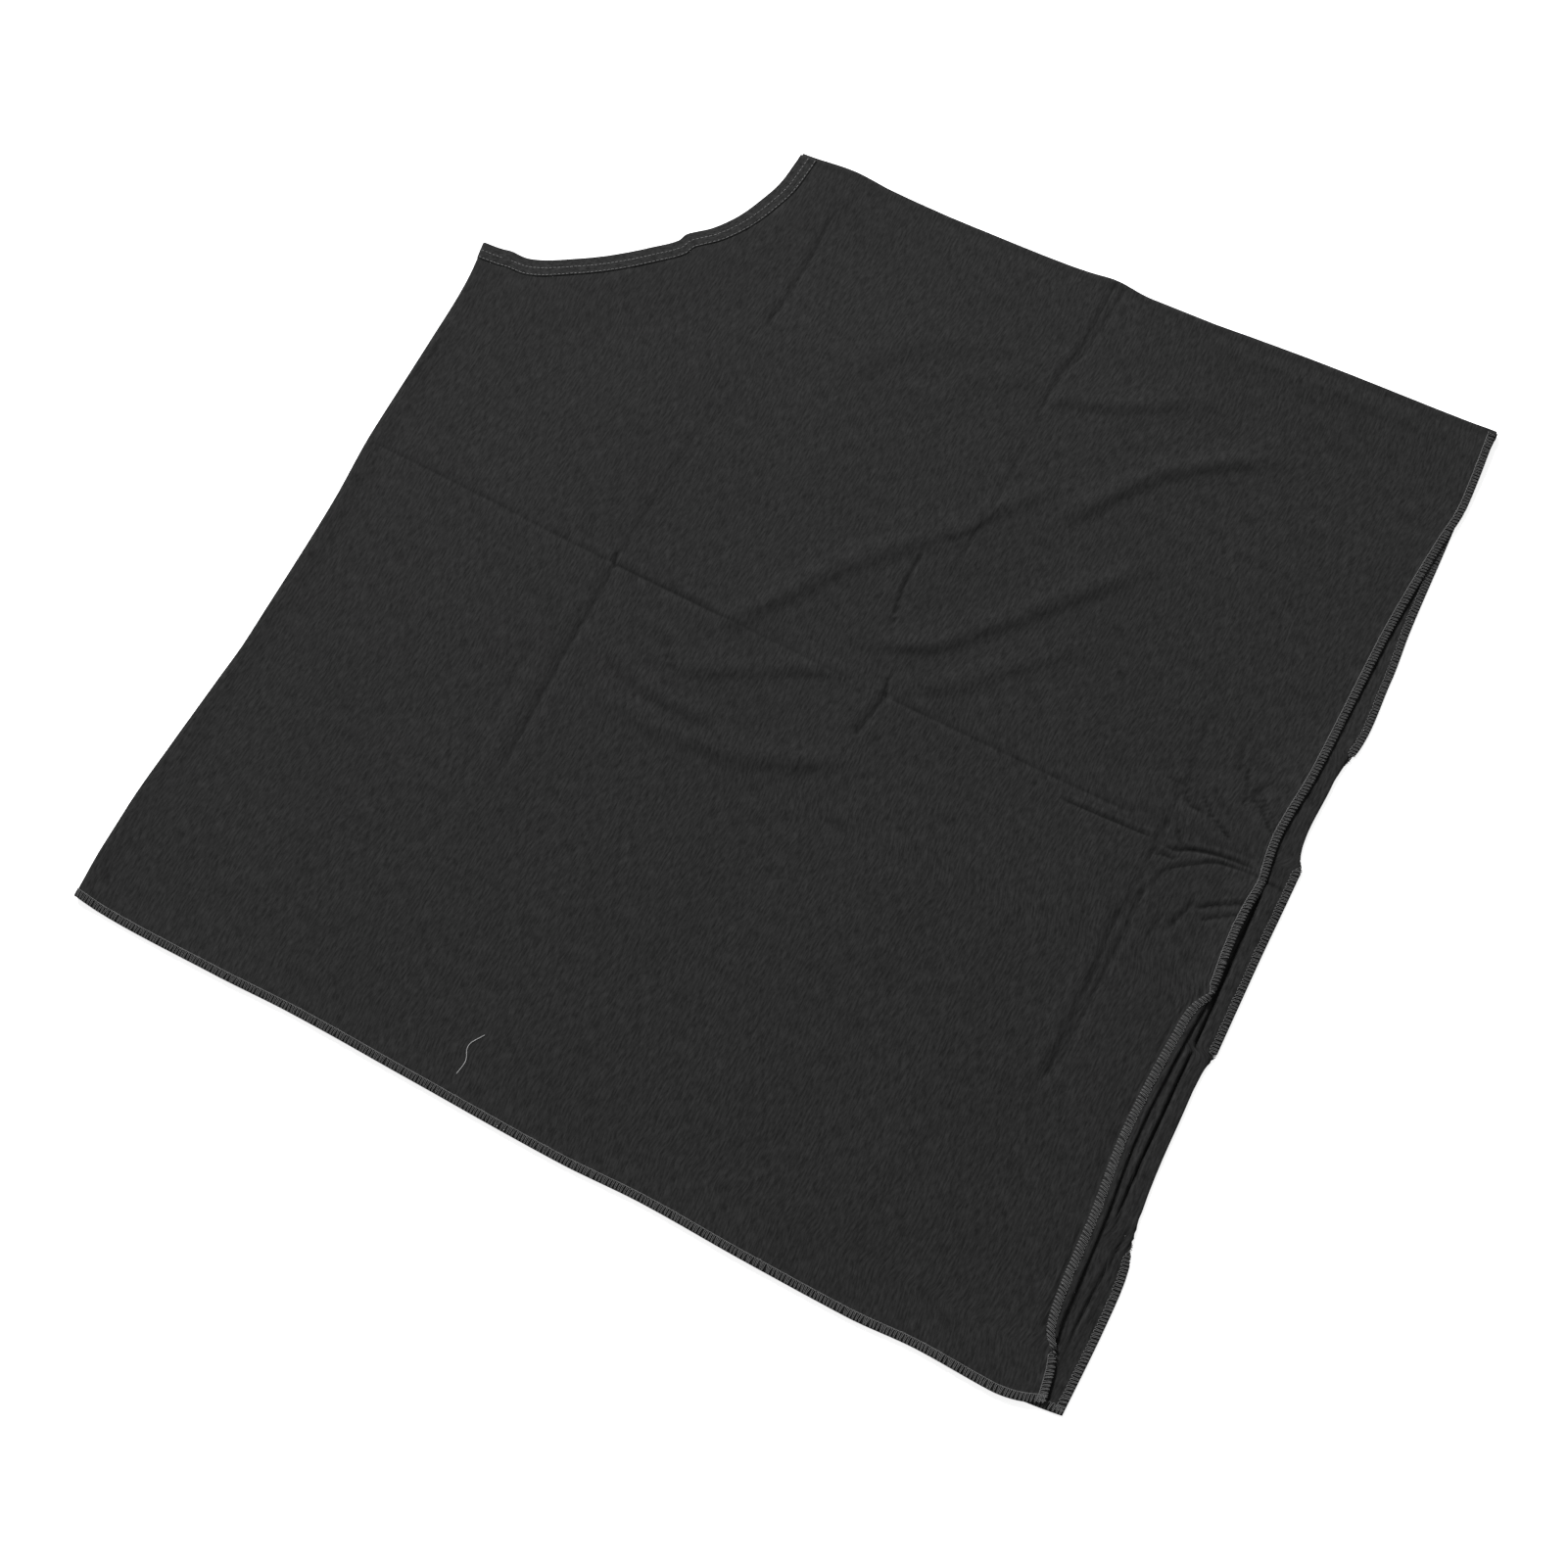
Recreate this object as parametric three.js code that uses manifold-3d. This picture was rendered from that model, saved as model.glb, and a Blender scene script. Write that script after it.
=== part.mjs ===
// A pull-on barber cape in stretch jersey, folded flat.
//
// One cloth is folded in half along its left edge, and its two leaves are seamed together along the
// far edge. The neck is a quarter circle cut from the closed corner and bound with a strip of jersey.
// The hem and the right side stay open, and an overlock binds each raw edge there.
//
// Millimetres, +Z up. The cape is drawn with its fold at x = 0, its hem at y = 0 and its underside at
// z = 0, and the finished group is then centred over its own base.
import * as THREE from "three";
import { mergeVertices } from "three/addons/utils/BufferGeometryUtils.js";
import Module from "manifold-3d";

const wasm = await Module();
wasm.setup();

// The cape as it lies.
const capeWidth = 618; // fold to the lower leaf's side edge
const capeLength = 620; // hem to seam
const neckRadius = 145; // closed corner to the binding's edge

// How far the upper leaf's side edge lies inside the lower leaf's, at shares of the way from hem to seam.
const upperInsets = [
  { share: 0, inset: 10 },
  { share: 0.25, inset: 25 },
  { share: 0.5, inset: 21 },
  { share: 0.77, inset: 12 },
  { share: 1, inset: 4 },
];

// Cloth, bindings and threads.
const cloth = 0.5; // one leaf's thickness
const bindingCloth = 0.5;
const bindingWidth = 12;
const bindingPastRows = 1.4; // from the inner needle row to the binding's edge on the body
const needleGauge = 4.8; // outer needle row to inner
const needleThread = 0.3;
const looperThread = 0.3;
const overlockWidth = 5;
const overlockThread = 0.3;
const seamAllowance = 5.5;
const clearance = 0.3; // between pieces that touch

// A stray thread end on the upper leaf, drawn from its upper end.
const strayDiameter = 0.4;
const strayStart = { x: 259, y: 38 };
const strayTurns = [
  [-5, -8],
  [-3, -17],
  [-4, -26],
];

// Each layer is a pair of distances from the plane midway between the leaves, the same for both leaves
// and round the fold, counted outwards from the innermost.
function layer(inner, thickness) {
  return { inner, outer: inner + thickness };
}

function outside(other, thickness) {
  return layer(other.outer + clearance, thickness);
}

const looperLayer = layer(clearance / 2, looperThread);
const bindingInside = outside(looperLayer, bindingCloth);
const leafLayer = outside(bindingInside, cloth);
const bindingOutside = outside(leafLayer, bindingCloth);
const needleLayer = outside(bindingOutside, needleThread);
const allowanceLayer = layer(clearance / 2, cloth);
const seamThreadLayer = outside(allowanceLayer, overlockThread);
const overlockInside = layer(leafLayer.inner - clearance - overlockThread, overlockThread);
const overlockOutside = outside(leafLayer, overlockThread);

const midHeight = leafLayer.outer; // the lower leaf rests on z = 0
const foldCentreX = leafLayer.outer;
const bindingEnd = neckRadius + bindingWidth; // its edge on the body, from the closed corner
const innerRowRadius = bindingEnd - bindingPastRows;
const outerRowRadius = innerRowRadius - needleGauge;
const seamStart = bindingEnd + clearance;
const seamEnd = capeWidth - upperInsets.at(-1).inset; // where the upper leaf's side meets the seam
const farAway = 2 * Math.max(capeWidth, capeLength); // cutting tools reach this far

// How finely curves are faceted.
const circleSegments = 128; // round the closed corner
const foldSegments = 12; // round the fold
const sideSteps = 40; // along the upper leaf's side
const straySides = 8;
const strayStep = 1.2;
const weldDistance = 1e-4;

// The solid of a closed three.js geometry.
function solidOf(geometry) {
  const bare = geometry.clone();
  bare.deleteAttribute("normal");
  bare.deleteAttribute("uv");
  const welded = mergeVertices(bare, weldDistance);
  return new wasm.Manifold(
    new wasm.Mesh({
      numProp: 3,
      vertProperties: welded.attributes.position.array,
      triVerts: new Uint32Array(welded.index.array),
    }),
  );
}

// The three.js geometry of a solid, with flat faces.
function geometryOf(solid) {
  const mesh = solid.getMesh();
  const shared = new THREE.BufferGeometry();
  shared.setAttribute("position", new THREE.BufferAttribute(mesh.vertProperties, 3));
  shared.setIndex(new THREE.BufferAttribute(mesh.triVerts, 1));
  const flat = shared.toNonIndexed();
  flat.computeVertexNormals();
  return flat;
}

// A block between two corners.
function block(x0, x1, y0, y1, z0, z1) {
  const box = new THREE.BoxGeometry(x1 - x0, y1 - y0, z1 - z0);
  return solidOf(box.translate((x0 + x1) / 2, (y0 + y1) / 2, (z0 + z1) / 2));
}

// A plan outline, raised from z0 to z1.
function raised(shape, z0, z1) {
  const options = { depth: z1 - z0, bevelEnabled: false, curveSegments: circleSegments };
  return solidOf(new THREE.ExtrudeGeometry(shape, options).translate(0, 0, z0));
}

// A sheet folded round the left edge: its section is a U on its side, drawn along y.
function foldedSheet({ inner, outer }, y0, y1) {
  const section = new THREE.Shape();
  section.moveTo(farAway, -outer);
  section.lineTo(foldCentreX, -outer);
  section.absarc(foldCentreX, 0, outer, -Math.PI / 2, Math.PI / 2, true);
  section.lineTo(farAway, outer);
  section.lineTo(farAway, inner);
  section.lineTo(foldCentreX, inner);
  section.absarc(foldCentreX, 0, inner, Math.PI / 2, -Math.PI / 2, false);
  section.lineTo(farAway, -inner);
  const options = { depth: y1 - y0, bevelEnabled: false, curveSegments: foldSegments };
  const sheet = new THREE.ExtrudeGeometry(section, options).rotateX(Math.PI / 2);
  return solidOf(sheet.translate(0, y1, midHeight));
}

// A disc about the closed corner, taller than the cape.
function neckDisc(radius) {
  const shape = new THREE.Shape();
  shape.absarc(0, capeLength, radius, 0, 2 * Math.PI, false);
  return raised(shape, -farAway, farAway);
}

// The part of a folded sheet between two radii about the closed corner.
function neckBand(sheet, innerRadius, outerRadius) {
  return sheet.intersect(neckDisc(outerRadius)).subtract(neckDisc(innerRadius));
}

// Everything above a height. What binds the lower leaf's underside is pressed into the cloth there,
// and is left out by keeping only what lies above the surface that the cape rests on.
function above(z) {
  return block(-farAway, farAway, -farAway, farAway, z, farAway);
}

// Points along the upper leaf's side edge, from hem to seam.
function upperSidePoints() {
  const stations = upperInsets.map(
    ({ share, inset }) => new THREE.Vector2(capeWidth - inset, share * capeLength),
  );
  return new THREE.SplineCurve(stations).getPoints(sideSteps);
}

// The plan area between two lines that run beside a side edge, each a distance outside it.
function besideEdge(edge, nearer, farther) {
  const forward = edge.map((p) => new THREE.Vector2(p.x + farther, p.y));
  const back = edge.map((p) => new THREE.Vector2(p.x + nearer, p.y)).reverse();
  return new THREE.Shape([...forward, ...back]);
}

// A thread layer bound over one leaf's raw side edge: a wall outside the edge, and a strip on the
// leaf's inner face. The upper leaf has one on its outer face too.
function sideOverlock(edge, isUpper) {
  const side = isUpper ? 1 : -1;
  const wallInner = clearance;
  const wallOuter = clearance + overlockThread;
  const face = isUpper ? overlockOutside.outer : leafLayer.outer;
  const levels = ({ inner, outer }) =>
    [midHeight + side * inner, midHeight + side * outer].sort((a, b) => a - b);
  const wallLevels = levels({ inner: overlockInside.inner, outer: face });
  const stripPlan = besideEdge(edge, -overlockWidth, wallOuter);
  let bound = raised(besideEdge(edge, wallInner, wallOuter), ...wallLevels);
  bound = bound.add(raised(stripPlan, ...levels(overlockInside)));
  if (isUpper) bound = bound.add(raised(stripPlan, ...levels(overlockOutside)));
  const lowEnd = overlockWidth + clearance; // clear of the hem's overlock
  const highEnd = capeLength - cloth - clearance; // clear of the seam's turned cloth
  return bound.intersect(block(-farAway, farAway, lowEnd, highEnd, -farAway, farAway));
}

const upperEdge = upperSidePoints();
const lowerEdge = [new THREE.Vector2(capeWidth, 0), new THREE.Vector2(capeWidth, capeLength)];

// Cuts what lies past each leaf's side edge, with room beyond the edge for an overlock's wall.
function trimmedAtSide(sheet, room) {
  const pastUpper = raised(besideEdge(upperEdge, room, farAway), midHeight, farAway);
  const hemEnd = upperEdge[0].x + room;
  const belowHem = block(hemEnd, 2 * farAway, -farAway, 0, midHeight, farAway);
  const pastLower = block(capeWidth + room, 2 * farAway, -farAway, farAway, -farAway, farAway);
  return sheet.subtract(pastUpper).subtract(belowHem).subtract(pastLower);
}

// The cloth turned in along the seam: from each leaf a wall to the middle, and a flange inwards.
function seamTurn() {
  const end = seamEnd - clearance;
  const faceY = capeLength - cloth;
  let turned = null;
  for (const side of [-1, 1]) {
    const levels = (a, b) => [midHeight + side * a, midHeight + side * b].sort((p, q) => p - q);
    const wall = block(seamStart, end, faceY, capeLength, ...levels(allowanceLayer.inner, leafLayer.outer));
    const flangeLevels = levels(allowanceLayer.inner, allowanceLayer.outer);
    const flange = block(seamStart, end, capeLength - seamAllowance, capeLength, ...flangeLevels);
    const both = wall.add(flange);
    turned = turned ? turned.add(both) : both;
  }
  return turned;
}

// The folded cloth, with the neck cut out and the seam's allowance turned in.
function bodyPanel() {
  const rawNeckRadius = neckRadius + bindingCloth + clearance;
  const sheet = trimmedAtSide(foldedSheet(leafLayer, 0, capeLength), 0);
  return sheet.subtract(neckDisc(rawNeckRadius)).add(seamTurn());
}

// The strip folded over the raw neck edge: outside, inside and round the edge.
function neckBinding() {
  const edgeEnd = neckRadius + bindingCloth;
  const fullDepth = { inner: bindingInside.inner, outer: bindingOutside.outer };
  const outsideStrip = neckBand(foldedSheet(bindingOutside, 0, capeLength), neckRadius, bindingEnd);
  const insideStrip = neckBand(foldedSheet(bindingInside, 0, capeLength), neckRadius, bindingEnd);
  const neckEdge = neckBand(foldedSheet(fullDepth, 0, capeLength), neckRadius, edgeEnd);
  return outsideStrip.add(insideStrip).add(neckEdge).intersect(above(0));
}

// One needle thread, wrapped round the fold and lying on the upper leaf's binding.
function neckNeedleThread(radius) {
  const sheet = foldedSheet(needleLayer, 0, capeLength).intersect(above(0));
  return neckBand(sheet, radius - needleThread / 2, radius + needleThread / 2);
}

// The looper thread, between the rows on each leaf's inner side.
function neckLooperThread() {
  return neckBand(foldedSheet(looperLayer, 0, capeLength), outerRowRadius, innerRowRadius);
}

// Threads bound over both seam flanges.
function sideSeam() {
  const end = seamEnd - overlockWidth - 2 * clearance;
  const flangeEdge = capeLength - seamAllowance;
  const wallY = flangeEdge - clearance - overlockThread;
  const stripEnd = capeLength - cloth - clearance;
  const { inner, outer } = seamThreadLayer;
  const low = midHeight - outer;
  const high = midHeight + outer;
  const wall = block(seamStart, end, wallY, wallY + overlockThread, low, high);
  const lowStrip = block(seamStart, end, wallY, stripEnd, low, midHeight - inner);
  const highStrip = block(seamStart, end, wallY, stripEnd, midHeight + inner, high);
  return wall.add(lowStrip).add(highStrip);
}

// Threads bound over the raw hem of both leaves, round the fold.
function hemOverlock() {
  const wallEnd = -clearance;
  const wallStart = wallEnd - overlockThread;
  const fullDepth = { inner: overlockInside.inner, outer: overlockOutside.outer };
  const wall = foldedSheet(fullDepth, wallStart, wallEnd);
  const insideStrip = foldedSheet(overlockInside, wallStart, overlockWidth);
  const outsideStrip = foldedSheet(overlockOutside, wallStart, overlockWidth);
  const bound = wall.add(insideStrip).add(outsideStrip).intersect(above(0));
  return trimmedAtSide(bound, clearance + overlockThread);
}

// The stray thread: a thin tube lying on the upper leaf.
function strayThread() {
  const height = midHeight + leafLayer.outer + clearance + strayDiameter / 2;
  const points = [[0, 0], ...strayTurns].map(
    ([dx, dy]) => new THREE.Vector3(strayStart.x + dx, strayStart.y + dy, height),
  );
  const path = new THREE.CatmullRomCurve3(points);
  const section = new THREE.Shape();
  section.absarc(0, 0, strayDiameter / 2, 0, 2 * Math.PI, false);
  const steps = Math.ceil(path.getLength() / strayStep);
  const options = { extrudePath: path, steps, curveSegments: straySides, bevelEnabled: false };
  return solidOf(new THREE.ExtrudeGeometry(section, options));
}

const jersey = { color: 0x2d2d2e, roughness: 0.95, metalness: 0 };
const binding = { color: 0x353536, roughness: 0.95, metalness: 0 };
const greyThread = { color: 0x8a8a8a, roughness: 0.8, metalness: 0 };
const paleThread = { color: 0xb4b4b2, roughness: 0.8, metalness: 0 };

const cape = new THREE.Group();
cape.name = "barber_cape";

function place(name, solid, look) {
  const mesh = new THREE.Mesh(geometryOf(solid), new THREE.MeshStandardMaterial(look));
  mesh.name = name;
  cape.add(mesh);
}

place("body_panel", bodyPanel(), jersey);
place("neck_binding", neckBinding(), binding);
place("neck_thread_outer", neckNeedleThread(outerRowRadius), greyThread);
place("neck_thread_inner", neckNeedleThread(innerRowRadius), greyThread);
place("neck_looper_thread", neckLooperThread(), greyThread);
place("side_seam", sideSeam(), greyThread);
place("hem_overlock", hemOverlock(), greyThread);
place("side_overlock_upper", sideOverlock(upperEdge, true), greyThread);
place("side_overlock_lower", sideOverlock(lowerEdge, false), greyThread);
place("stray_thread", strayThread(), paleThread);

// Centre the cape over its own base.
const extent = new THREE.Box3().setFromObject(cape);
const middle = extent.getCenter(new THREE.Vector3());
cape.children.forEach((mesh) => mesh.position.set(-middle.x, -middle.y, 0));

export default cape;
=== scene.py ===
import math

import bpy
import numpy as np
from mathutils import Matrix, Vector

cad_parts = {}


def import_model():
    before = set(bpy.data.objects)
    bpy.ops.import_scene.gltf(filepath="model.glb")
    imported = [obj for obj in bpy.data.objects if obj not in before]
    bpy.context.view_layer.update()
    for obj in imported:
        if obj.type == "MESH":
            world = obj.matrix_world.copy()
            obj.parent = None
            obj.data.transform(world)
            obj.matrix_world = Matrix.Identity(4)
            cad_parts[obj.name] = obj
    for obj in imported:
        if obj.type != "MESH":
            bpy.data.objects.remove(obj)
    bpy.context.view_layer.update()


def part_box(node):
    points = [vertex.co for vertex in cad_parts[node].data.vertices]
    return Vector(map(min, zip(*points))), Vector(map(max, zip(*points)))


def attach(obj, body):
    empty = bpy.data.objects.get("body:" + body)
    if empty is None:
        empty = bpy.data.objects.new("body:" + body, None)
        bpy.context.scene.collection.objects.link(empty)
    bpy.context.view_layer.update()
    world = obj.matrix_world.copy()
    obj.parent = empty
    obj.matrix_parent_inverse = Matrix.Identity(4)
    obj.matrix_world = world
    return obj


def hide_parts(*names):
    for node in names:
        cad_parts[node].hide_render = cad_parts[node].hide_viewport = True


# A pull-on barber cape in charcoal jersey, folded flat.
#
# Lengths are millimetres in the cape's own plan: x from the fold, y from the hem, z from the floor.
# The cloth itself is addressed by two distances measured over it: across, from the fold, positive on
# the upper leaf and negative on the lower one, and along, from the hem. cloth() bends that flat
# pattern into the folded cape, and every seam, binding and stitch is placed through it.

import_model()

MM = 0.001
panel_low, panel_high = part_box("body_panel")
binding_low, binding_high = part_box("neck_binding")
WIDTH = (panel_high.x - panel_low.x) / MM
LENGTH = (panel_high.y - panel_low.y) / MM
BINDING_END = (binding_high.x - panel_low.x) / MM  # from the closed corner

SEED = 7


# Outlines -------------------------------------------------------------------------------------------

def profile(*points):
    """A smooth line through (place, value) points, level beyond its ends."""
    place, value = np.array(points, float).T
    step = np.diff(place)
    slope = np.diff(value) / step
    inner = np.where(slope[:-1] * slope[1:] > 0, (slope[:-1] + slope[1:]) / 2, 0)
    tangent = np.concatenate([[slope[0]], inner, [slope[-1]]])

    def line(at):
        at = np.clip(at, place[0], place[-1])
        i = np.clip(np.searchsorted(place, at, side="right") - 1, 0, len(step) - 1)
        t = (at - place[i]) / step[i]
        start = (1 + 2 * t) * (1 - t) ** 2 * value[i] + t * (1 - t) ** 2 * step[i] * tangent[i]
        end = t * t * (3 - 2 * t) * value[i + 1] + t * t * (t - 1) * step[i] * tangent[i + 1]
        return start + end

    return line


# y of each leaf's hem, by x.
UPPER_HEM = profile(
    (0, -0.5), (20, -2.5), (100, -3), (150, -2), (230, -3.6), (330, -5.5), (380, -4),
    (440, -5.5), (506, -6.2), (548, -4), (590, -5), (604, -3.2), (618, 1.8),
)
LOWER_HEM = profile((0, -0.5), (100, -1.5), (300, -3), (500, -3), (590, -2.5), (610, -0.5), (620, 1))
# How far the seam lies below its straight line, by x.
SEAM_DROP = profile(
    (145, 2), (164, 1.5), (192, -0.5), (220, 2), (270, 4), (332, 3.8), (355, 3), (374, 1.2),
    (392, 3.4), (415, 4.3), (472, 2.2), (510, 1), (560, 0.5), (612, 0),
)
# x of the fold, by y.
FOLD = profile(
    (0, 1), (30, -1), (60, -1), (100, 1.2), (148, 4.5), (180, 6.5), (280, 6.4), (330, 3.8),
    (400, 4.2), (450, 3.6), (475, 0),
)
# x of each leaf's side as it lies, by y, and how much of its strip is rolled over or under.
UPPER_SIDE = profile(
    (0, 611), (12, 609.5), (22, 607.5), (30, 604), (38, 601.8), (62, 600.6), (100, 599), (150, 596),
    (198, 597.5), (224, 599.5), (243, 602), (256, 601), (276, 600.2), (292, 600.8), (306, 602.3),
    (322, 600.3), (335, 599.5), (350, 600.5), (372, 603), (430, 605.6), (478, 607.6), (540, 613.6),
    (567, 617), (620, 614.5),
)
UPPER_ROLL = profile(
    (24, 0), (31, 6), (44, 8.6), (100, 9.2), (150, 9.5), (205, 8.8), (226, 7.8), (243, 0),
)
LOWER_SIDE = profile(
    (0, 621), (52, 622.4), (84, 621), (96, 617.4), (124, 614), (166, 613.2), (198, 613.8),
    (208, 616.6), (262, 616.6), (321, 617.2), (330, 613), (376, 612.8), (390, 614.6), (401, 618.4),
    (448, 618.8), (480, 617), (530, 616), (592, 615), (620, 615.6),
)
LOWER_ROLL = profile(
    (86, 0), (100, 8), (140, 10), (190, 10), (204, 7), (208, 0), (318, 0), (328, 8), (345, 10),
    (380, 10), (392, 6), (399, 0),
)
# How far the lower leaf rides up on its rolled strip, 0 to 1, by y.
LOWER_RIDE = profile((78, 0), (104, 1), (190, 1), (226, 0), (296, 0), (330, 1), (386, 1), (414, 0))
# Radius of the neck's bound edge about the closed corner, over the cloth, by degrees from the fold.
NECK = profile(
    (0, 143), (8, 142.4), (13.5, 144.2), (26, 141.4), (35, 141), (45, 142), (52, 144), (54.5, 142.3),
    (57, 143.8), (60.5, 146.9), (67, 150), (75, 152), (81, 153.8), (87, 154.2), (90, 154.8),
)

# Cloth and stitches.
CLOTH = 0.5
NECK_RADIUS = 145.0
FOLD_RADIUS = 1.3
ROLL_RADIUS = 0.55
STRIP = 16.0  # the strip along each side that can roll
ARC = math.pi / 2 * FOLD_RADIUS  # from the fold's crest to the start of a leaf, over the cloth
REACH = ARC + WIDTH - FOLD_RADIUS  # from the fold's crest to a leaf's raw side
SEAM_BEND = 0.6  # radius at which a leaf turns in at the seam
SEAM_TURN = math.pi * SEAM_BEND  # the cloth in that turn
SEAM_EDGE = 4.5  # from the turn to the leaf's raw edge
BINDING_WIDTH = 12.0
BINDING_TURN = 0.6  # how far in from the bound edge the binding turns round it
NECK_RAW = 1.0  # the leaf's raw neck edge, in from the bound one
BINDING_CLOTH = 0.26
BINDING_OFFSET = 0.42  # a leaf's middle to its binding's
NEEDLE_GAUGE = 4.8
NECK_PITCH = 2.7  # of both needle rows and their looper
OUTER_ROW = 5.8  # neck edge to the first needle row
OVERLOCK_WIDTH = 4.6  # its needle line from the raw edge
OVERLOCK_PITCH = 1.95
NEEDLE_SHARE = 1.1  # how much thicker an overlock's needle thread is than its loopers
OVERLOCKED_EDGE = 7.0  # the edge that an overlock's threads keep off the floor where it rolls under
THREAD = 0.18  # radius of an overlock's or looper's thread
NEEDLE_THREAD = 0.22  # radius of a thread in the needle rows
THREAD_LIFT = 0.46  # what threads under a leaf lift it by
UNDER_CAPE = 0.05  # a bare leaf's face off the floor
LYING = UNDER_CAPE + CLOTH / 2  # its middle off the floor
EDGE_STIFF = (5, 16)  # a lifted edge stays up over the first width and is down from the second
WAVE_STIFF = (5, 18)  # the same for the small waves along an overlocked edge
NECK_STIFF = (12, 60)  # the same beside the neck's bound edge
LEAF_GAP = 1.55  # the leaves' middles apart where nothing presses or lifts them
CLEARANCE = 0.15  # the leaves' least distance, before the small waves along their sewn edges


def rise(value, start, end):
    """0 up to start, 1 from end, and smooth between."""
    t = np.clip((value - start) / (end - start), 0, 1)
    return t * t * (3 - 2 * t)


def within(value, start, full, fading, end):
    """1 from full to fading, 0 outside start and end, and smooth between."""
    return rise(value, start, full) * (1 - rise(value, fading, end))


def beside_edge(distance, stiff):
    """1 at an edge and over the first stiff width beside it, and 0 from the second."""
    return 1 - rise(distance, *stiff)


# Creases --------------------------------------------------------------------------------------------

def rounded(points, spacing=4.0):
    """Points close together on a smooth line through these."""
    points = np.array(points, float)
    if len(points) < 3:
        return points
    padded = np.vstack([2 * points[0] - points[1], points, 2 * points[-1] - points[-2]])
    found = []
    for a, b, c, d in zip(padded, padded[1:], padded[2:], padded[3:]):
        count = max(1, int(np.linalg.norm(c - b) / spacing))
        for t in np.arange(count) / count:
            bend = (2 * a - 5 * b + 4 * c - d) * t * t + (3 * b - a - 3 * c + d) * t ** 3
            found.append(b + ((c - a) * t + bend) / 2)
    return np.array([*found, points[-1]])


def beside(points, x, y):
    """For each place, its distance from a line, positive on the left, and its share of the way along."""
    line = rounded(points)
    steps = np.linalg.norm(np.diff(line, axis=0), axis=1)
    starts = np.concatenate([[0], np.cumsum(steps)])
    nearest = np.full(x.shape, 1e9)
    side = np.ones(x.shape)
    share = np.zeros(x.shape)
    for p, q, step, start in zip(line, line[1:], steps, starts):
        dx, dy = (q - p) / step
        run = np.clip((x - p[0]) * dx + (y - p[1]) * dy, 0, step)
        off_x = x - p[0] - run * dx
        off_y = y - p[1] - run * dy
        distance = np.hypot(off_x, off_y)
        closer = distance < nearest
        nearest = np.where(closer, distance, nearest)
        side = np.where(closer, np.where(dx * off_y - dy * off_x < 0, -1.0, 1.0), side)
        share = np.where(closer, (start + run) / starts[-1], share)
    return nearest * side, share


def ends(share, start, end):
    """A crease fades in over its first share and out over its last."""
    return within(share, 0, start, 1 - end, 1)


def pressed(points, depth, width, shoulder=0.3):
    """A packing crease: a sharp line pressed into the cloth, with raised shoulders."""
    def shape(x, y):
        d, share = beside(points, x, y)
        line = -np.exp(-np.where(d > 0, d, -0.35 * d) / width)
        shoulders = shoulder * np.exp(-((np.abs(d) - 3 * width) / (2.5 * width)) ** 2)
        return depth * (line + shoulders) * ends(share, 0.06, 0.06)
    return shape


def wrinkle(points, height, width, start=0.2, end=0.25):
    """A soft ridge on the left of a line, long on its far side and dropping steeply to the line."""
    def shape(x, y):
        d, share = beside(points, x, y)
        t = d - 0.42 * width
        t = np.where(t < 0, t / (0.6 * width), t / (1.6 * width))
        return height * np.exp(-t * t) * ends(share, start, end)
    return shape


def pinch(points, depth, width, lip=0.5):
    """A narrow crease: a groove, with a lip that stands up on its left."""
    def shape(x, y):
        d, share = beside(points, x, y)
        groove = -np.exp(-((d / width) ** 2))
        raised = lip * np.exp(-((d - 2.4 * width) / (1.5 * width)) ** 2)
        return depth * (groove + raised) * ends(share, 0.2, 0.2)
    return shape


# The lines that packing pressed into the cape: one across it, and three up it.
ACROSS_CREASE = [(3, 324), (64, 322.5), (176, 318), (260, 316), (345, 313.5), (470, 312), (600, 311.5)]
LEFT_CREASE = [
    (185, 169), (182.5, 256), (182.5, 300), (180.5, 318), (182, 350), (186, 462), (193, 602),
]
MIDDLE_CREASE = [
    (358.5, 286), (363, 308), (364, 316), (365, 350), (366.5, 525), (371.5, 575), (374, 619),
]
RIGHT_CREASE = [
    (538.5, 150), (538, 205), (537, 236), (535.5, 262), (538, 286), (538.5, 344), (535, 394),
]


def stretch(points, low, high, axis=1):
    """The part of a line whose x (axis 0) or y (axis 1) lies between two values."""
    return [p for p in points if low <= p[axis] <= high]


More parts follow.
